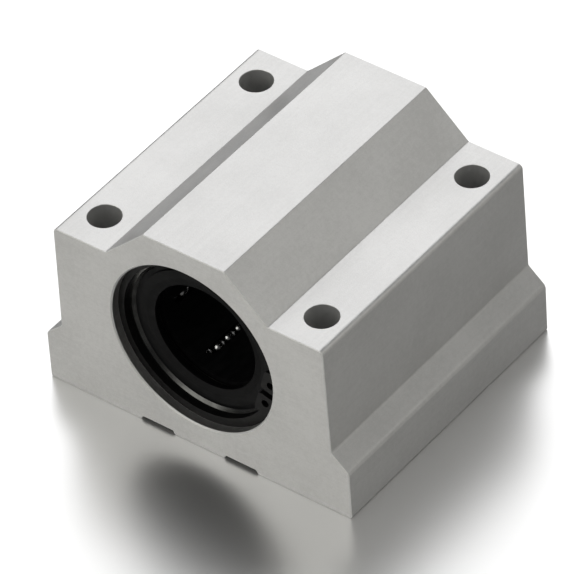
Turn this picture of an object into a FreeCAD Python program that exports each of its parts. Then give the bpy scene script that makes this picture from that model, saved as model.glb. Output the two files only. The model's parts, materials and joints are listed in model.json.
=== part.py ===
import FreeCAD, Part
import math
import os
import Sketcher

# A linear ball bearing in an aluminium block.  The block stands on its base, +Z up,
# its bore runs along Y and its width along X; the origin is the middle of the base.
# Every body is drawn about the bore axis and then lifted to the height of the bore.
# Lengths are in millimetres and angles in degrees.
DIMENSIONS = {
    # aluminium block
    "block_width": 76,
    "block_length": 67,
    "block_height": 51.5,
    "shoulder_height": 42,
    "flange_height": 12,
    "bore_height": 26,
    "flange_slope_width": 4.15,
    "flange_slope_height": 3.6,
    "side_lean": 0.45,
    "ridge_top_width": 20.1,
    "ridge_foot_width": 40.3,
    "base_groove_width": 8.5,
    "base_groove_depth": 0.8,
    "base_groove_slant": 0.5,
    "base_groove_spacing": 21,
    "base_round": 0.5,
    "flange_round": 1.6,
    "side_foot_round": 1,
    "shoulder_round": 1.1,
    "ridge_foot_round": 0.5,
    "ridge_top_round": 0.4,
    "end_break": 0.15,
    "block_bore": 40.04,
    "bore_break": 0.3,
    "bolt_spacing_across": 54,
    "bolt_spacing_along": 50,
    "bolt_hole": 7.15,
    "bolt_mouth": 7.3,
    "thread_depth": 18,
    "thread_mouth": 8.2,
    # retaining rings that hold the bearing in the block
    "ring_groove": 42.5,
    "ring_groove_width": 1.85,
    "ring_groove_start": 29.45,
    "ring_start": 29.5,
    "ring_thickness": 1.75,
    "ring_outside": 42.4,
    "ring_inside": 36.4,
    "ring_inside_shift": 0.35,
    "ring_lug_reach": 15.6,
    "ring_lugs_width": 12,
    "ring_lug_corner": 0.9,
    "ring_gap": 1.5,
    "ring_hole": 1.8,
    "ring_hole_spacing": 5.7,
    "ring_hole_distance": 17.7,
    "front_gap_angle": -73,
    "rear_gap_angle": 75,
    # hardened sleeve
    "sleeve_outside": 40,
    "sleeve_length": 59,
    "sleeve_break": 0.5,
    "sleeve_groove": 38,
    "sleeve_groove_width": 1.85,
    "sleeve_groove_pitch": 41,
    "track_bore": 31.48,
    "relief_bore": 35.4,
    "relief_start": 20.05,
    "relief_full": 20.85,
    "seat_bore": 34.6,
    "seat_start": 26.05,
    "sleeve_mouth": 0.65,
    "return_groove_radius": 1.7,
    # ball circuits
    "circuit_count": 6,
    "circuit_angle": 7.6,
    "ball_diameter": 3.175,
    "balls_per_row": 12,
    "ball_pitch": 3.42,
    "shaft_diameter": 25,
    "return_row_radius": 16,
    "turn_radius": 2.4,
    "turn_centre": 20.45,
    "turn_ball_angle": 41.8,
    # cage and what closes the sleeve behind it
    "cage_inside": 25.4,
    "cage_outside": 31.1,
    "cage_length": 52,
    "channel_radius": 1.68,
    "cage_ring_start": 26.1,
    "cage_ring_thickness": 1,
    "cage_ring_inside": 28,
    "cage_ring_outside": 34.54,
    "cage_ring_gap": 3,
    "seal_start": 27.2,
    "seal_outside": 34.56,
    "seal_band_end": 28.95,
    "seal_face": 32.4,
    "seal_end": 29.4,
    "seal_dish": 28.4,
    "seal_lip_end": 29,
    "seal_lip_land": 0.5,
    "seal_root": 26,
    "seal_root_start": 28.2,
    # how far a cut or an added piece reaches past the surface it meets
    "overlap": 1,
}

# Lengths closer than this count as the same.
CLOSE = 1e-3

# Places worked out from the driving dimensions, measured from the bore axis.
BASE = "-Size.bore_height"
HALF_WIDTH = "Size.block_width / 2"
SHOULDER = "Size.shoulder_height - Size.bore_height"
SIDE_FOOT = "Size.block_width / 2 - Size.flange_slope_width"
LOADED_RADIUS = "(Size.shaft_diameter + Size.ball_diameter) / 2"

# A circuit is a flat oval loop.  In its own frame the loop's plane is level, its two
# straight rows run along Y and the bore axis passes below; the two rows are two turn
# radii apart and lie at their own distances from the bore axis.
LOADED_X = (
    f"(Size.return_row_radius ^ 2 - ({LOADED_RADIUS}) ^ 2 - 4 * Size.turn_radius ^ 2)"
    " / (4 * Size.turn_radius)"
)
RETURN_X = f"{LOADED_X} + 2 * Size.turn_radius"
TURN_X = f"{LOADED_X} + Size.turn_radius"
LOOP_HEIGHT = f"sqrt(({LOADED_RADIUS}) ^ 2 - ({LOADED_X}) ^ 2)"
ROW_SPAN = "(Size.balls_per_row - 1) * Size.ball_pitch"

LIFT = "vector(0; 0; Size.bore_height)"
UPRIGHT = f"placement({LIFT}; rotation(vector(0; 1; 0); 0))"

# How the parts of a sketch are named in a constraint: its origin, its two axes, and
# the start, end and centre of a piece of geometry.
ORIGIN = (-1, 1)
HORIZONTAL_AXIS = -1
VERTICAL_AXIS = -2
START, END, CENTRE = 1, 2, 3

document = FreeCAD.newDocument("linear_bearing_block")
sheet = document.addObject("Spreadsheet::Sheet", "Size")
for row, (alias, value) in enumerate(DIMENSIONS.items(), start=1):
    sheet.set(f"A{row}", alias.replace("_", " "))
    sheet.set(f"B{row}", str(value))
    sheet.setAlias(f"B{row}", alias)
document.recompute()

pieces = []


def number(expression):
    """The value of an expression written in the sheet's names."""
    return float(sheet.evalExpression(expression.replace("Size.", "")))


def turned(angle, frame=UPRIGHT):
    """The frame, turned about the bore by an angle, clockwise as seen from the front."""
    turn = f"placement(vector(0; 0; 0); rotation(vector(0; 1; 0); {angle}))"
    return f"{frame} * {turn}"


def at_end(frame, end):
    """End pieces are drawn at the rear; at the front they are turned end for end."""
    half_turn = 180 if end == "front" else 0
    return f"{frame} * placement(vector(0; 0; 0); rotation(vector(0; 0; 1); {half_turn}))"


def circuit_frame(index):
    return turned(f"Size.circuit_angle + {index} * 360 / Size.circuit_count")


def new_body(label, frame=UPRIGHT):
    body = document.addObject("PartDesign::Body", label)
    body.Label = label
    body.setExpression("Placement", frame)
    pieces.append(body)
    return body


def origin_feature(body, role):
    return next(part for part in body.Origin.OriginFeatures if part.Role == role)


def new_sketch(body, plane, offset=None):
    """A sketch on one of the body's own origin planes, moved along its normal."""
    sketch = body.newObject("Sketcher::SketchObject", f"{body.Name}_sketch")
    sketch.AttachmentSupport = [(origin_feature(body, plane), "")]
    sketch.MapMode = "FlatFace"
    if offset:
        sketch.setExpression("AttachmentOffset.Base.z", offset)
    return sketch


def drive(sketch, constraint, expression):
    """Adds a constraint whose value follows an expression."""
    index = sketch.addConstraint(constraint)
    name = f"size_{index}"
    sketch.renameConstraint(index, name)
    sketch.setExpression(f"Constraints.{name}", expression)


def fix_point(sketch, geometry, position, point):
    for kind, expression in zip(("DistanceX", "DistanceY"), point):
        value = number(expression)
        drive(sketch, Sketcher.Constraint(kind, *ORIGIN, geometry, position, value), expression)


def outline(sketch, corners):
    """A closed outline of straight lines through corners given as expressions."""
    first = sketch.GeometryCount
    points = [FreeCAD.Vector(number(x), number(y), 0) for x, y in corners]
    following = points[1:] + points[:1]
    for start, end in zip(points, following):
        sketch.addGeometry(Part.LineSegment(start, end), False)
    for index, corner in enumerate(corners):
        line = first + index
        next_line = first + (index + 1) % len(corners)
        sketch.addConstraint(Sketcher.Constraint("Coincident", line, END, next_line, START))
        fix_point(sketch, line, START, corner)


def box_outline(sketch, left, right, low, high):
    outline(sketch, [(left, low), (right, low), (right, high), (left, high)])


def circle(sketch, centre, radius):
    middle = FreeCAD.Vector(number(centre[0]), number(centre[1]), 0)
    shape = Part.Circle(middle, FreeCAD.Vector(0, 0, 1), number(radius))
    index = sketch.addGeometry(shape, False)
    drive(sketch, Sketcher.Constraint("Radius", index, number(radius)), radius)
    fix_point(sketch, index, CENTRE, centre)


def oval(sketch, radius):
    """The loop of a circuit, or one beside it: two rows joined by half circles."""
    size = number(radius)
    middle = number(TURN_X)
    end = number("Size.turn_centre")
    up = FreeCAD.Vector(0, 0, 1)
    right_top = FreeCAD.Vector(middle + size, end, 0)
    right_bottom = FreeCAD.Vector(middle + size, -end, 0)
    left_top = FreeCAD.Vector(middle - size, end, 0)
    left_bottom = FreeCAD.Vector(middle - size, -end, 0)
    top_circle = Part.Circle(FreeCAD.Vector(middle, end, 0), up, size)
    bottom_circle = Part.Circle(FreeCAD.Vector(middle, -end, 0), up, size)
    half_turn = math.pi
    first = sketch.GeometryCount
    right, top, left, bottom = first, first + 1, first + 2, first + 3
    sketch.addGeometry(Part.LineSegment(right_bottom, right_top), False)
    sketch.addGeometry(Part.ArcOfCircle(top_circle, 0, half_turn), False)
    sketch.addGeometry(Part.LineSegment(left_top, left_bottom), False)
    sketch.addGeometry(Part.ArcOfCircle(bottom_circle, half_turn, 2 * half_turn), False)
    joins = [(right, END, top, START), (top, END, left, START)]
    joins += [(left, END, bottom, START), (bottom, END, right, START)]
    for join in joins:
        sketch.addConstraint(Sketcher.Constraint("Tangent", *join))
    drive(sketch, Sketcher.Constraint("Radius", top, size), radius)
    fix_point(sketch, top, CENTRE, (TURN_X, "Size.turn_centre"))
    fix_point(sketch, bottom, CENTRE, (TURN_X, "-Size.turn_centre"))


def add_feature(body, kind, profile, **settings):
    """Adds a feature made from a profile; a text setting is an expression or a choice."""
    feature = body.newObject(f"PartDesign::{kind}", f"{body.Name}_{kind.lower()}")
    feature.Profile = profile
    for name, setting in settings.items():
        if isinstance(setting, str) and "Size." in setting:
            feature.setExpression(name, setting)
        else:
            setattr(feature, name, setting)
    document.recompute()
    return feature


def pad(body, sketch, length, **settings):
    return add_feature(body, "Pad", sketch, Length=length, **settings)


def pocket(body, sketch, **settings):
    return add_feature(body, "Pocket", sketch, **settings)


def revolve(body, sketch):
    """Turns a profile drawn along the bore axis, with radius upwards, into a ring."""
    return add_feature(body, "Revolution", sketch, ReferenceAxis=(sketch, ["H_Axis"]), Angle=360)


def repeat_around(body, features):
    """Repeats features about the bore axis, once for each ball circuit."""
    pattern = body.newObject("PartDesign::PolarPattern", f"{body.Name}_pattern")
    pattern.Originals = features
    pattern.Axis = (origin_feature(body, "Y_Axis"), [""])
    pattern.Angle = 360
    pattern.setExpression("Occurrences", "Size.circuit_count")
    body.Tip = pattern
    document.recompute()


def same(first, second):
    return math.isclose(first, second, abs_tol=CLOSE)


def edges_where(shape, wanted, *places):
    """The names of the edges for which a test holds."""
    return [f"Edge{index}" for index, edge in enumerate(shape.Edges, 1) if wanted(edge, *places)]


def dress(body, kind, base, names, size_name, size):
    """A fillet or chamfer on the named edges or faces of the feature before it."""
    feature = body.newObject(f"PartDesign::{kind}", f"{body.Name}_{kind.lower()}")
    feature.Base = (base, names)
    feature.setExpression(size_name, size)
    document.recompute()
    return feature


def is_lengthwise(edge, x, z):
    """True for an edge along the bore at a height and at a width to either side."""
    middle = edge.BoundBox.Center
    along_bore = same(edge.BoundBox.YLength, edge.Length)
    return along_bore and same(abs(middle.x), number(x)) and same(middle.z, number(z))


def is_round(edge, diameter):
    return isinstance(edge.Curve, Part.Circle) and same(2 * edge.Curve.Radius, number(diameter))


def block_section(body):
    """The block's end view: grooved base, flanges, upright sides, shoulders, ridge."""
    groove_inner = "(Size.base_groove_spacing - Size.base_groove_width) / 2"
    groove_outer = "(Size.base_groove_spacing + Size.base_groove_width) / 2"
    groove_top = f"{BASE} + Size.base_groove_depth"
    right_side = [
        (groove_inner, BASE),
        (f"{groove_inner} + Size.base_groove_slant", groove_top),
        (f"{groove_outer} - Size.base_groove_slant", groove_top),
        (groove_outer, BASE),
        (HALF_WIDTH, BASE),
        (HALF_WIDTH, f"{BASE} + Size.flange_height"),
        (SIDE_FOOT, f"{BASE} + Size.flange_height + Size.flange_slope_height"),
        (f"{SIDE_FOOT} - Size.side_lean", SHOULDER),
        ("Size.ridge_foot_width / 2", SHOULDER),
        ("Size.ridge_top_width / 2", f"{BASE} + Size.block_height"),
    ]
    left_side = [(f"-({x})", z) for x, z in reversed(right_side)]
    sketch = new_sketch(body, "XZ_Plane")
    outline(sketch, right_side + left_side)
    return sketch


def bolt_points():
    for side in ("-", ""):
        for end in ("-", ""):
            yield (
                f"{side}Size.bolt_spacing_across / 2",
                f"{end}Size.bolt_spacing_along / 2",
            )


def make_block():
    body = new_body("housing_block")
    section = block_section(body)
    solid = pad(body, section, "Size.block_length", SideType="Symmetric")
    flange_top = f"{BASE} + Size.flange_height"
    rounds = [
        ("base", HALF_WIDTH, BASE),
        ("flange", HALF_WIDTH, flange_top),
        ("side_foot", SIDE_FOOT, f"{flange_top} + Size.flange_slope_height"),
        ("shoulder", f"{SIDE_FOOT} - Size.side_lean", SHOULDER),
        ("ridge_foot", "Size.ridge_foot_width / 2", SHOULDER),
        ("ridge_top", "Size.ridge_top_width / 2", f"{BASE} + Size.block_height"),
    ]
    for corner, x, z in rounds:
        names = edges_where(solid.Shape, is_lengthwise, x, z)
        solid = dress(body, "Fillet", solid, names, "Radius", f"Size.{corner}_round")
    ends = [
        f"Face{index}"
        for index, face in enumerate(solid.Shape.Faces, start=1)
        if same(face.BoundBox.YLength, 0)
    ]
    solid = dress(body, "Chamfer", solid, ends, "Size", "Size.end_break")

    bore = new_sketch(body, "XZ_Plane")
    circle(bore, ("0", "0"), "Size.block_bore / 2")
    solid = pocket(body, bore, Type="ThroughAll", SideType="Symmetric")
    mouths = edges_where(solid.Shape, is_round, "Size.block_bore")
    dress(body, "Chamfer", solid, mouths, "Size", "Size.bore_break")

    grooves = new_sketch(body, "YZ_Plane")
    start = "Size.ring_groove_start"
    finish = "Size.ring_groove_start + Size.ring_groove_width"
    floor = "Size.ring_groove / 2"
    above = "Size.block_bore / 2 - Size.overlap"
    box_outline(grooves, start, finish, above, floor)
    box_outline(grooves, f"-({finish})", f"-{start}", above, floor)
    add_feature(body, "Groove", grooves, ReferenceAxis=(grooves, ["H_Axis"]), Angle=360)

    from_top = new_sketch(body, "XY_Plane", SHOULDER)
    from_base = new_sketch(body, "XY_Plane", BASE)
    for point in bolt_points():
        circle(from_top, point, "Size.bolt_hole / 2")
        circle(from_base, point, "Size.bolt_hole / 2")
    document.recompute()
    drill_bolt_holes(body, from_top)
    tap_base_holes(body, from_base)


def drill_bolt_holes(body, sketch):
    """Clear holes for bolts put in from above, down to the tapped part."""
    add_feature(
        body,
        "Hole",
        sketch,
        Diameter="Size.bolt_hole",
        DepthType="Dimension",
        Depth="Size.shoulder_height - Size.thread_depth",
        DrillPoint="Flat",
        HoleCutType="Countersink",
        HoleCutCustomValues=True,
        HoleCutDiameter="Size.bolt_mouth",
        HoleCutCountersinkAngle=90,
    )


def tap_base_holes(body, sketch):
    """The lower part of each hole is tapped M8 from the base."""
    add_feature(
        body,
        "Hole",
        sketch,
        Reversed=True,
        ThreadType="ISOMetricProfile",
        ThreadSize="M8x1.25",
        Threaded=True,
        DepthType="Dimension",
        Depth="Size.thread_depth",
        DrillPoint="Flat",
        ThreadDepthType="Hole Depth",
        HoleCutType="Countersink",
        HoleCutCustomValues=True,
        HoleCutDiameter="Size.thread_mouth",
        HoleCutCountersinkAngle=120,
        ModelThread=True,
        UseCustomThreadClearance=True,
        CustomThreadClearance=0,
    )


def make_retaining_ring(end):
    """An internal snap ring, drawn with its gap at the bottom between two lugs."""
    frame = at_end(turned(f"Size.{end}_gap_angle"), end)
    body = new_body(f"{end}_retaining_ring", frame)
    outer_face = "-(Size.ring_start + Size.ring_thickness)"
    band = new_sketch(body, "XZ_Plane", outer_face)
    circle(band, ("0", "0"), "Size.ring_outside / 2")
    circle(band, ("0", "Size.ring_inside_shift"), "Size.ring_inside / 2")
    pad(body, band, "Size.ring_thickness")

    lugs = new_sketch(body, "XZ_Plane", outer_face)
    half = "Size.ring_lugs_width / 2"
    lug_root = "-(Size.ring_inside / 2 + Size.overlap)"
    box_outline(lugs, f"-{half}", half, lug_root, "-Size.ring_lug_reach")
    pad(body, lugs, "Size.ring_thickness")

    openings = new_sketch(body, "XZ_Plane")
    half_gap = "Size.ring_gap / 2"
    box_outline(openings, f"-{half_gap}", half_gap, "-Size.ring_outside", "-Size.ring_lug_reach / 2")
    for side in ("-", ""):
        hole = (f"{side}Size.ring_hole_spacing / 2", "-Size.ring_hole_distance")
        circle(openings, hole, "Size.ring_hole / 2")
    solid = pocket(body, openings, Type="ThroughAll", SideType="Symmetric")

    corners = edges_where(solid.Shape, is_lengthwise, half, "-Size.ring_lug_reach")
    corners += edges_where(solid.Shape, is_lengthwise, half_gap, "-Size.ring_lug_reach")
    dress(body, "Fillet", solid, corners, "Radius", "Size.ring_lug_corner")


def make_sleeve():
    """The hardened sleeve: ball tracks in the middle, room for the turns at its ends."""
    body = new_body("outer_sleeve", circuit_frame(0))
    half = "Size.sleeve_length / 2"
    outside = "Size.sleeve_outside / 2"
    groove_far = "Size.sleeve_groove_pitch / 2"
    groove_near = f"{groove_far} - Size.sleeve_groove_width"
    right_side = [
        ("Size.relief_start", "Size.track_bore / 2"),
        ("Size.relief_full", "Size.relief_bore / 2"),
        ("Size.seat_start", "Size.relief_bore / 2"),
        ("Size.seat_start", "Size.seat_bore / 2"),
        (f"{half} - Size.sleeve_mouth", "Size.seat_bore / 2"),
        (half, "Size.seat_bore / 2 + Size.sleeve_mouth"),
        (half, f"{outside} - Size.sleeve_break"),
        (f"{half} - Size.sleeve_break", outside),
        (groove_far, outside),
        (groove_far, "Size.sleeve_groove / 2"),
        (groove_near, "Size.sleeve_groove / 2"),
        (groove_near, outside),
    ]
    left_side = [(f"-({y})", radius) for y, radius in reversed(right_side)]
    section = new_sketch(body, "YZ_Plane")
    outline(section, right_side + left_side)
    revolve(body, section)

    channel = new_sketch(body, "XZ_Plane")
    circle(channel, (RETURN_X, LOOP_HEIGHT), "Size.return_groove_radius")
    length = "2 * Size.relief_full"
    cut = pocket(body, channel, Length=length, SideType="Symmetric")
    repeat_around(body, [cut])


def make_cage():
    """The cage: a tube with a round-bottomed oval channel for each ball circuit."""
    body = new_body("ball_cage", circuit_frame(0))
    half = "Size.cage_length / 2"
    section = new_sketch(body, "YZ_Plane")
    box_outline(section, f"-{half}", half, "Size.cage_inside / 2", "Size.cage_outside / 2")
    revolve(body, section)

    path = new_sketch(body, "XY_Plane", LOOP_HEIGHT)
    oval(path, "Size.turn_radius")
    ball_way = new_sketch(body, "XZ_Plane")
    circle(ball_way, (RETURN_X, LOOP_HEIGHT), "Size.channel_radius")
    document.recompute()
    channel = add_feature(body, "SubtractivePipe", ball_way, Spine=(path, []))

    mouth = new_sketch(body, "XY_Plane", LOOP_HEIGHT)
    oval(mouth, "Size.turn_radius + Size.channel_radius")
    oval(mouth, "Size.turn_radius - Size.channel_radius")
    depth = "Size.channel_radius * 2"
    opening = pocket(body, mouth, Length=depth, Reversed=True)
    repeat_around(body, [channel, opening])


def make_cage_ring(end):
    """A split steel ring between the cage and the seal."""
    body = new_body(f"{end}_cage_ring", at_end(UPRIGHT, end))
    start = "Size.cage_ring_start"
    section = new_sketch(body, "YZ_Plane")
    finish = f"{start} + Size.cage_ring_thickness"
    inside = "Size.cage_ring_inside / 2"
    box_outline(section, start, finish, inside, "Size.cage_ring_outside / 2")
    revolve(body, section)
    gap = new_sketch(body, "XZ_Plane")
    half_gap = "Size.cage_ring_gap / 2"
    box_outline(gap, f"-{half_gap}", half_gap, "0", "Size.cage_ring_outside")
    pocket(body, gap, Type="ThroughAll", SideType="Symmetric")


def make_seal(end):
    """A rubber end seal with a recessed rim and a face that dishes in to a shaft lip."""
    body = new_body(f"{end}_seal", at_end(UPRIGHT, end))
    face = "Size.seal_face / 2"
    lip = "Size.shaft_diameter / 2"
    section = new_sketch(body, "YZ_Plane")
    corners = [
        ("Size.seal_start", "Size.seal_root / 2"),
        ("Size.seal_start", "Size.seal_outside / 2"),
        ("Size.seal_band_end", "Size.seal_outside / 2"),
        ("Size.seal_band_end", face),
        ("Size.seal_end", face),
        ("Size.seal_end", "Size.seal_dish / 2"),
        ("Size.seal_lip_end", lip),
        ("Size.seal_lip_end - Size.seal_lip_land", lip),
        ("Size.seal_root_start", "Size.seal_root / 2"),
    ]
    outline(section, corners)
    revolve(body, section)


def add_ball(body, centre, height=None):
    """A ball: half a disc turned about its own straight edge."""
    radius = "Size.ball_diameter / 2"
    size = number(radius)
    half_disc = new_sketch(body, "XY_Plane", height)
    for axis, place in zip(("x", "y"), centre):
        half_disc.setExpression(f"AttachmentOffset.Base.{axis}", place)
    top = FreeCAD.Vector(0, size, 0)
    bottom = FreeCAD.Vector(0, -size, 0)
    side = FreeCAD.Vector(size, 0, 0)
    arc = half_disc.addGeometry(Part.Arc(bottom, side, top), False)
    line = half_disc.addGeometry(Part.LineSegment(top, bottom), False)
    half_disc.addConstraint(Sketcher.Constraint("Coincident", arc, END, line, START))
    half_disc.addConstraint(Sketcher.Constraint("Coincident", arc, START, line, END))
    half_disc.addConstraint(Sketcher.Constraint("Coincident", arc, CENTRE, *ORIGIN))
    half_disc.addConstraint(Sketcher.Constraint("PointOnObject", line, START, VERTICAL_AXIS))
    half_disc.addConstraint(Sketcher.Constraint("PointOnObject", line, END, VERTICAL_AXIS))
    drive(half_disc, Sketcher.Constraint("Radius", arc, size), radius)
    return add_feature(
        body, "Revolution", half_disc, ReferenceAxis=(half_disc, ["V_Axis"]), Angle=360
    )


def make_ball_row(kind, place, index):
    """The balls of one straight stretch of a circuit."""
    body = new_body(f"{kind}_row_{index + 1}", circuit_frame(index))
    ball = add_ball(body, (place, f"-({ROW_SPAN}) / 2"), LOOP_HEIGHT)
    row = body.newObject("PartDesign::LinearPattern", f"{body.Name}_pattern")
    row.Originals = [ball]
    row.Direction = (origin_feature(body, "Y_Axis"), [""])
    row.setExpression("Length", ROW_SPAN)
    row.setExpression("Occurrences", "Size.balls_per_row")
    body.Tip = row


def make_turn_balls(end, index):
    """The two balls in a turn, drawn about the centre of the turn."""
    side = "-" if end == "front" else ""
    centre = f"vector({TURN_X}; {side}Size.turn_centre; {LOOP_HEIGHT})"
    frame = f"{circuit_frame(index)} * placement({centre}; rotation(vector(0; 0; 1); 0))"
    body = new_body(f"{end}_turn_{index + 1}", frame)
    across = "Size.turn_radius * sin(Size.turn_ball_angle * 1deg)"
    outward = f"{side}Size.turn_radius * cos(Size.turn_ball_angle * 1deg)"
    ball = add_ball(body, (across, outward))
    pair = body.newObject("PartDesign::Mirrored", f"{body.Name}_mirror")
    pair.Originals = [ball]
    pair.MirrorPlane = (origin_feature(body, "YZ_Plane"), [""])
    body.Tip = pair


def check_document():
    """Stops the run if any object failed or any piece isn't sound."""
    document.recompute()
    for item in document.Objects:
        if {"Invalid", "Error"} & set(item.State):
            raise RuntimeError(f"{item.Name} failed: {item.State}")
    for piece in pieces:
        if piece.Shape.isNull() or not piece.Shape.isValid():
            raise RuntimeError(f"{piece.Label} has no sound shape")


def write_pieces():
    os.makedirs("parts", exist_ok=True)
    for piece in pieces:
        piece.Shape.exportStep(os.path.join("parts", f"{piece.Label}.step"))
        count = len(piece.Shape.Solids)
        print(f"{piece.Label}: {count} solid(s), {piece.Shape.Volume:.1f} mm3")


make_block()
make_sleeve()
make_cage()
for block_end in ("front", "rear"):
    make_retaining_ring(block_end)
    make_cage_ring(block_end)
    make_seal(block_end)
for circuit in range(DIMENSIONS["circuit_count"]):
    make_ball_row("loaded", LOADED_X, circuit)
    make_ball_row("return", RETURN_X, circuit)
    make_turn_balls("front", circuit)
    make_turn_balls("rear", circuit)
check_document()
write_pieces()
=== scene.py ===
import json
import math
import bpy
from mathutils import Matrix, Vector

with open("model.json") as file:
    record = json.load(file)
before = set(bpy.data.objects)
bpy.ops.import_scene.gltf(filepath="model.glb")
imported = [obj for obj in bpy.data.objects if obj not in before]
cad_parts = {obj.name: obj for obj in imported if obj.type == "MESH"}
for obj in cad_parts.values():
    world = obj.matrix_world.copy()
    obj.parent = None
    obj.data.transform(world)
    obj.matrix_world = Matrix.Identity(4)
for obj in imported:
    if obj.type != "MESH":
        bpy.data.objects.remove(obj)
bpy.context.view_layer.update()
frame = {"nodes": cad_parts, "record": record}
nodes = frame["nodes"]
mounts = {mount["name"]: mount for mount in frame["record"]["mounts"]}

MM = 0.001

# Where the camera stands: it looks at the aim point from this far away, turned round
# the vertical and raised by these angles, and it is tipped a little to one side.  The
# lens and the sensor are in millimetres.  Nothing beyond the far limit, in metres, is drawn.
CAMERA_AIM = Vector((1.3, -4.1, 21.5)) * MM
CAMERA_AZIMUTH = math.radians(39.77)
CAMERA_ELEVATION = math.radians(41.56)
CAMERA_TILT = math.radians(-4.2)
CAMERA_DISTANCE = 1309.8 * MM
CAMERA_LENS = 409.6
SENSOR_WIDTH = 36.0
CAMERA_FAR_LIMIT = 10.0

# The studio: soft lights of one size, all at the same distance, and a little ambient
# light.  Each softbox has a name, an azimuth and elevation in degrees, its watts and a colour.
# Widths, heights and distances in the studio are in metres.
WHITE_LIGHT = (1.0, 1.0, 1.0)
WARM_LIGHT = (1.0, 0.99, 0.94)
AMBIENT_STRENGTH = 0.08
SOFTBOX_WIDTH = 1.2
SOFTBOX_HEIGHT = 1.0
SOFTBOX_DISTANCE = 1.3
SOFTBOXES = (
    ("back_softbox", -140, 42, 6.25, WHITE_LIGHT),
    ("front_softbox", -20, 30, 5.85, WARM_LIGHT),
    ("side_softbox", 100, 30, 3.0, WARM_LIGHT),
    ("low_softbox", 120, 20, 0.95, WARM_LIGHT),
    ("rear_softbox", 170, 30, 1.15, WHITE_LIGHT),
)
FLOOR_SIZE = 6.0

# The darker tone of the outer sides and flanges begins this far out from the block's
# middle, on the rounded edges of its shoulders, and fades in over this width, in millimetres.
SIDE_START = 32.9
SIDE_FADE = 0.5

# The drilled walls' lighter finish and their painted sheen fade out between these distances
# outside a bolt hole's wall, in millimetres.
HOLE_FADE_START = 0.02
HOLE_FADE_END = 0.06

# How squarely a face looks along the bore, from 0 on a long face to 1 on an end face: over
# the first range a break on an edge comes to count as one, over the second an end face does.
BREAK_FACING = (0.3, 0.5)
END_FACING = (0.88, 0.95)

# Where the true and the rounded directions agree at least this well, the ground is flat.
FLAT = 0.995

ENDS = ("front", "rear")
CIRCUITS = range(1, 7)
BALL_GROUPS = ("loaded_row", "return_row", "front_turn", "rear_turn")


def direction(azimuth, elevation):
    """Unit vector towards a place round the part: azimuth 0 is in front of it."""
    level = math.cos(elevation)
    return Vector((level * math.sin(azimuth), -level * math.cos(azimuth), math.sin(elevation)))


def add_camera():
    away = direction(CAMERA_AZIMUTH, CAMERA_ELEVATION)
    data = bpy.data.cameras.new("camera")
    data.lens = CAMERA_LENS
    data.sensor_width = SENSOR_WIDTH
    data.clip_end = CAMERA_FAR_LIMIT
    camera = bpy.data.objects.new("camera", data)
    bpy.context.scene.collection.objects.link(camera)
    upright = away.to_track_quat("Z", "Y").to_matrix().to_4x4()
    tilt = Matrix.Rotation(CAMERA_TILT, 4, "Z")
    place = Matrix.Translation(CAMERA_AIM + away * CAMERA_DISTANCE)
    camera.matrix_world = place @ upright @ tilt
    bpy.context.scene.camera = camera


def add_softbox(name, azimuth, elevation, power, colour):
    """A soft rectangular light that faces the middle of the part."""
    data = bpy.data.lights.new(name, "AREA")
    data.shape = "RECTANGLE"
    data.size = SOFTBOX_WIDTH
    data.size_y = SOFTBOX_HEIGHT
    data.energy = power
    data.color = colour
    light = bpy.data.objects.new(name, data)
    bpy.context.scene.collection.objects.link(light)
    towards = direction(math.radians(azimuth), math.radians(elevation))
    light.location = CAMERA_AIM + towards * SOFTBOX_DISTANCE
    light.rotation_euler = towards.to_track_quat("Z", "Y").to_euler()


def add_lights():
    world = bpy.data.worlds.new("studio")
    world.use_nodes = True
    background = world.node_tree.nodes["Background"]
    background.inputs["Color"].default_value = (*WHITE_LIGHT, 1.0)
    background.inputs["Strength"].default_value = AMBIENT_STRENGTH
    bpy.context.scene.world = world
    for softbox in SOFTBOXES:
        add_softbox(*softbox)


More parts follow.
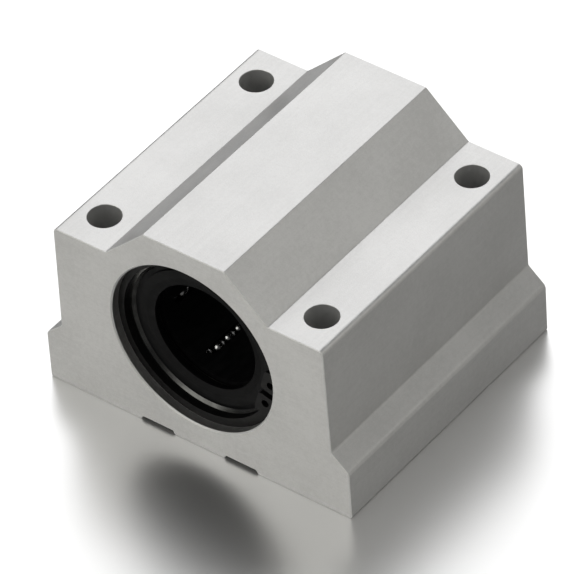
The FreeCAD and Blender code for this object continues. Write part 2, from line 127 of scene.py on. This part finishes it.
class Graph:
    """Short ways to add shader nodes to one material."""

    def __init__(self, name):
        self.material = bpy.data.materials.new(name)
        self.material.use_nodes = True
        self.tree = self.material.node_tree
        self.shader = self.tree.nodes["Principled BSDF"]

    def node(self, kind, inputs=None, **settings):
        made = self.tree.nodes.new(kind)
        for name, value in settings.items():
            setattr(made, name, value)
        for key, value in (inputs or {}).items():
            self.feed(made.inputs[key], value)
        return made

    def feed(self, socket, value):
        if isinstance(value, bpy.types.NodeSocket):
            self.tree.links.new(value, socket)
        else:
            socket.default_value = value

    def finish(self, name, value):
        """Sets one of the shader's inputs by name."""
        self.feed(self.shader.inputs[name], value)

    def math(self, operation, first, second=0.0):
        made = self.node("ShaderNodeMath", {0: first, 1: second}, operation=operation)
        return made.outputs[0]

    def times(self, first, second):
        return self.math("MULTIPLY", first, second)

    def rest_of(self, share):
        """What a share leaves of the whole."""
        return self.math("SUBTRACT", 1.0, share)

    def weighted(self, *parts):
        """The sum of some values, each times its weight."""
        total, *others = [self.times(value, weight) for value, weight in parts]
        for other in others:
            total = self.math("ADD", total, other)
        return total

    def distance(self, across, upward):
        """How far away a point is that lies so far across and so far up."""
        square = self.math("ADD", self.math("POWER", across, 2.0), self.math("POWER", upward, 2.0))
        return self.math("SQRT", square)

    def parts_of(self, vector):
        """The X, Y and Z parts of a vector."""
        outputs = self.node("ShaderNodeSeparateXYZ", {0: vector}).outputs
        return outputs["X"], outputs["Y"], outputs["Z"]

    def normal(self):
        return self.node("ShaderNodeNewGeometry").outputs["Normal"]

    def place_mm(self, stretch=(1, 1, 1)):
        """The place on the part in millimetres, stretched along the axes."""
        place = self.node("ShaderNodeTexCoord").outputs["Object"]
        scale = [factor / MM for factor in stretch]
        scaled = self.node("ShaderNodeVectorMath", {0: place, 1: scale}, operation="MULTIPLY")
        return scaled.outputs[0]

    def noise(self, place, scale, detail=2.0, roughness=0.5, distortion=0.0):
        inputs = {
            "Vector": place,
            "Scale": scale,
            "Detail": detail,
            "Roughness": roughness,
            "Distortion": distortion,
        }
        return self.node("ShaderNodeTexNoise", inputs).outputs["Fac"]

    def spread(self, value, low, high, out_low=0.0, out_high=1.0):
        """Maps a range of values smoothly onto another range."""
        inputs = {
            "Value": value,
            "From Min": low,
            "From Max": high,
            "To Min": out_low,
            "To Max": out_high,
        }
        made = self.node("ShaderNodeMapRange", inputs, interpolation_type="SMOOTHSTEP")
        return made.outputs["Result"]

    def mix_colours(self, factor, first, second):
        """Mixes two colours; the colour sockets of the mix node come by position."""
        made = self.node("ShaderNodeMix", data_type="RGBA")
        colour_a, colour_b = [s for s in made.inputs if s.type == "RGBA"]
        self.feed(made.inputs[0], factor)
        self.feed(colour_a, (*first, 1.0) if isinstance(first, tuple) else first)
        self.feed(colour_b, (*second, 1.0) if isinstance(second, tuple) else second)
        return [s for s in made.outputs if s.type == "RGBA"][0]

    def bump(self, height, depth_mm, normal=None):
        """Relief of a given depth; it can be laid over another bump's normal."""
        inputs = {"Height": height, "Strength": 1.0, "Distance": depth_mm * MM}
        if normal is not None:
            inputs["Normal"] = normal
        return self.node("ShaderNodeBump", inputs).outputs["Normal"]


def edge_share(graph, radius_mm, sharpness):
    """Near 1 on edges and 0 on flat ground, for wear and painted edge highlights; small sharpness
    takes in soft edges.
    """
    bevel = graph.node("ShaderNodeBevel", {"Radius": radius_mm * MM}, samples=4)
    agreement = graph.node(
        "ShaderNodeVectorMath", {0: bevel.outputs[0], 1: graph.normal()}, operation="DOT_PRODUCT"
    )
    return graph.spread(agreement.outputs["Value"], 1.0 - sharpness, FLAT, 1.0, 0.0)


def in_bolt_holes(graph):
    """Near 1 inside the four bolt holes, whose places come from the record."""
    size = mounts["bolts_from_above"]["dims"]
    across, along, _ = graph.parts_of(graph.place_mm())
    across = graph.math("SUBTRACT", graph.math("ABSOLUTE", across), size["spacing_x_mm"] / 2)
    along = graph.math("SUBTRACT", graph.math("ABSOLUTE", along), size["spacing_y_mm"] / 2)
    wall = size["hole_r_mm"]
    fade = (wall + HOLE_FADE_START, wall + HOLE_FADE_END)
    return graph.spread(graph.distance(across, along), *fade, 1.0, 0.0)


def aluminium():
    """Fine blasted and clear-anodised aluminium, drawn along the bore, faced at its ends."""
    dark_tone = (0.60, 0.598, 0.592)
    light_tone = (0.695, 0.693, 0.687)
    black = (0.0, 0.0, 0.0)
    speck_grey = (0.85, 0.85, 0.84)
    drilled_sheen_grey = (0.90, 0.90, 0.89)
    bare_and_highlight_grey = (0.93, 0.93, 0.92)
    side_darkening = 0.24
    speck_share = 0.12
    drilled_sheen_share = 0.85
    wear_share = 0.5
    worn_and_highlight_metal_loss = 0.8
    drilled_metal_loss = 0.16
    drilled_smoothness = 0.1

    graph = Graph("blasted_aluminium")
    place = graph.place_mm()
    facing = graph.math("ABSOLUTE", graph.parts_of(graph.normal())[1])
    end_face = graph.spread(facing, *END_FACING)
    long_face = graph.rest_of(end_face)
    drilled = in_bolt_holes(graph)
    # the narrow breaks round the end faces and the mouths of the bore are painted bright: cut
    # metal, with a painted highlight on top
    end_break = graph.times(graph.spread(facing, *BREAK_FACING), long_face)
    end_break = graph.times(end_break, graph.rest_of(drilled))
    across = graph.math("ABSOLUTE", graph.parts_of(place)[0])
    outer_side = graph.times(graph.spread(across, SIDE_START, SIDE_START + SIDE_FADE), long_face)

    clouds = graph.noise(place, 0.06, 3.0, 0.55)
    mottle = graph.noise(place, 0.9, 4.0, 0.6)
    grain = graph.noise(place, 3.6, 3.0, 0.65)
    drawn = graph.noise(graph.place_mm((2.6, 0.015, 2.6)), 1.0, 3.0, 0.6)
    faced = graph.noise(graph.place_mm((0.06, 1.0, 2.0)), 1.0, 3.0, 0.6)
    lines = graph.weighted((drawn, long_face), (faced, end_face))

    tone = graph.weighted((clouds, 0.3), (mottle, 0.35), (grain, 0.2), (lines, 0.15))
    colour = graph.mix_colours(graph.spread(tone, 0.36, 0.64), dark_tone, light_tone)
    # the outer sides and flanges are made a little darker than the milled faces
    colour = graph.mix_colours(graph.times(outer_side, side_darkening), colour, black)
    speck = graph.spread(grain, 0.62, 0.78)
    colour = graph.mix_colours(graph.times(speck, speck_share), colour, speck_grey)
    # the bolt hole walls are lighter: bare drilled metal, with a painted sheen on top
    colour = graph.mix_colours(graph.times(drilled, drilled_sheen_share), colour, drilled_sheen_grey)
    # the long edges are rubbed part of the way to the bare metal, and lightened further as a
    # painted highlight
    worn = graph.times(edge_share(graph, radius_mm=0.3, sharpness=0.08), wear_share)
    worn = graph.math("MAXIMUM", worn, end_break)
    graph.finish("Base Color", graph.mix_colours(worn, colour, bare_and_highlight_grey))
    loss = graph.weighted((worn, worn_and_highlight_metal_loss), (drilled, drilled_metal_loss))
    graph.finish("Metallic", graph.rest_of(loss))
    rough = graph.spread(mottle, 0.3, 0.7, 0.44, 0.48)
    smoother = graph.times(drilled, drilled_smoothness)
    graph.finish("Roughness", graph.math("SUBTRACT", rough, smoother))
    graph.finish("Normal", graph.bump(lines, 0.005, graph.bump(grain, 0.03)))
    return graph.material


def turned_lines(graph, scale):
    """Fine rings left by turning, grinding or moulding about the bore."""
    bore_height = mounts["shaft_bore"]["pos_m"][2] / MM
    across, along, upward = graph.parts_of(graph.place_mm())
    radius = graph.distance(across, graph.math("SUBTRACT", upward, bore_height))
    rings = graph.node("ShaderNodeCombineXYZ", {0: radius, 1: along, 2: 0.0}).outputs[0]
    return graph.noise(rings, scale, 3.0, 0.65)


def ground_steel():
    """The ground sleeve and split rings, painted far darker than bare steel as the shade deep in
    the bore, to match the photo.
    """
    dark_tone = (0.088, 0.088, 0.086)
    light_tone = (0.14, 0.14, 0.135)
    graph = Graph("ground_steel")
    rings = turned_lines(graph, 4.0)
    smear = graph.noise(graph.place_mm(), 0.35, 3.0, 0.55)
    colour = graph.mix_colours(graph.spread(smear, 0.3, 0.7), dark_tone, light_tone)
    graph.finish("Base Color", colour)
    graph.finish("Metallic", 1.0)
    graph.finish("Roughness", graph.spread(rings, 0.3, 0.7, 0.23, 0.34))
    graph.finish("Normal", graph.bump(rings, 0.004))
    return graph.material


def ball_steel():
    """Polished bearing balls, toned down until their glints matched the photo."""
    dark_tone = (0.42, 0.42, 0.42)
    light_tone = (0.52, 0.52, 0.515)
    graph = Graph("polished_ball_steel")
    place = graph.place_mm()
    film = graph.noise(place, 1.4, 3.0, 0.5)
    colour = graph.mix_colours(graph.spread(film, 0.35, 0.65), dark_tone, light_tone)
    graph.finish("Base Color", colour)
    graph.finish("Metallic", 1.0)
    graph.finish("Roughness", graph.spread(film, 0.35, 0.65, 0.17, 0.23))
    graph.finish("Normal", graph.bump(graph.noise(place, 14.0, 2.0, 0.7), 0.0006))
    return graph.material


def blackened_and_shaded_steel():
    """Phosphated spring steel, with its edges rubbed a little brighter.

    This black and those of the seals and the cage are deeper than the real materials have:
    they are painted shade, matched to the photo, whose bore is nearly black.
    """
    dark_tone = (0.006, 0.006, 0.0065)
    light_tone = (0.014, 0.0135, 0.0135)
    worn_grey = (0.10, 0.10, 0.097)
    wear_share = 0.2
    graph = Graph("blackened_spring_steel")
    place = graph.place_mm()
    crystals = graph.noise(place, 9.0, 3.0, 0.65)
    patches = graph.noise(place, 0.5, 3.0, 0.55)
    colour = graph.mix_colours(graph.spread(patches, 0.3, 0.7), dark_tone, light_tone)
    worn = graph.times(edge_share(graph, radius_mm=0.12, sharpness=0.25), wear_share)
    graph.finish("Base Color", graph.mix_colours(worn, colour, worn_grey))
    graph.finish("Metallic", 0.5)
    graph.finish("Specular IOR Level", 0.3)
    graph.finish("Roughness", graph.spread(crystals, 0.3, 0.7, 0.4, 0.55))
    graph.finish("Normal", graph.bump(crystals, 0.006))
    return graph.material


def seal_rubber():
    """Smooth moulded rubber with a faint bloom; its black is deepened as painted shade."""
    dark_tone = (0.0025, 0.0025, 0.003)
    light_tone = (0.006, 0.006, 0.0065)
    graph = Graph("seal_rubber")
    place = graph.place_mm()
    bloom = graph.noise(place, 0.7, 4.0, 0.6)
    colour = graph.mix_colours(graph.spread(bloom, 0.35, 0.7), dark_tone, light_tone)
    graph.finish("Base Color", colour)
    graph.finish("Roughness", graph.spread(bloom, 0.3, 0.7, 0.42, 0.58))
    graph.finish("Specular IOR Level", 0.11)
    relief = graph.bump(turned_lines(graph, 2.5), 0.006)
    relief = graph.bump(graph.noise(place, 8.0, 2.0, 0.6), 0.005, relief)
    graph.finish("Normal", relief)
    return graph.material


def cage_resin():
    """Black moulded resin with flow marks drawn out along the bore; its black is deepened as
    painted shade.
    """
    dark_tone = (0.003, 0.003, 0.0035)
    light_tone = (0.008, 0.008, 0.0085)
    graph = Graph("cage_resin")
    flow = graph.noise(graph.place_mm((1.0, 0.25, 1.0)), 0.9, 4.0, 0.6, 0.6)
    colour = graph.mix_colours(graph.spread(flow, 0.3, 0.7), dark_tone, light_tone)
    graph.finish("Base Color", colour)
    graph.finish("Roughness", graph.spread(flow, 0.3, 0.7, 0.38, 0.5))
    graph.finish("Specular IOR Level", 0.2)
    graph.finish("Normal", graph.bump(graph.noise(graph.place_mm(), 6.0, 2.0), 0.004))
    return graph.material


def floor_surface():
    """A plain pale sheet of satin metal, which stands in for the scratched one in the photo."""
    dark_tone = (0.84, 0.84, 0.84)
    light_tone = (0.88, 0.88, 0.88)
    graph = Graph("pale_floor")
    wash = graph.noise(graph.place_mm(), 0.012, 3.0, 0.5)
    colour = graph.mix_colours(graph.spread(wash, 0.3, 0.7), dark_tone, light_tone)
    graph.finish("Base Color", colour)
    graph.finish("Metallic", 0.85)
    graph.finish("Roughness", 0.32)
    return graph.material


def add_floor():
    half = FLOOR_SIZE / 2
    mesh = bpy.data.meshes.new("floor")
    corners = [(-half, -half, 0), (half, -half, 0), (half, half, 0), (-half, half, 0)]
    mesh.from_pydata(corners, [], [(0, 1, 2, 3)])
    mesh.materials.append(floor_surface())
    floor = bpy.data.objects.new("floor", mesh)
    bpy.context.scene.collection.objects.link(floor)


def dress(name, material):
    """Gives a CAD node its finish, in every slot it has."""
    mesh = nodes[name].data
    if not mesh.materials:
        mesh.materials.append(material)
    for slot in nodes[name].material_slots:
        slot.material = material


def dress_nodes():
    dress("housing_block", aluminium())
    # the sleeve, rings, seals and cage inside the bore are painted dark as the bore's shade
    steel = ground_steel()
    black = blackened_and_shaded_steel()
    rubber = seal_rubber()
    dress("outer_sleeve", steel)
    dress("ball_cage", cage_resin())
    for end in ENDS:
        dress(f"{end}_cage_ring", steel)
        dress(f"{end}_retaining_ring", black)
        dress(f"{end}_seal", rubber)
    polished = ball_steel()
    for circuit in CIRCUITS:
        for group in BALL_GROUPS:
            dress(f"{group}_{circuit}", polished)


add_camera()
add_lights()
add_floor()
dress_nodes()
bpy.context.scene.view_settings.view_transform = "Standard"
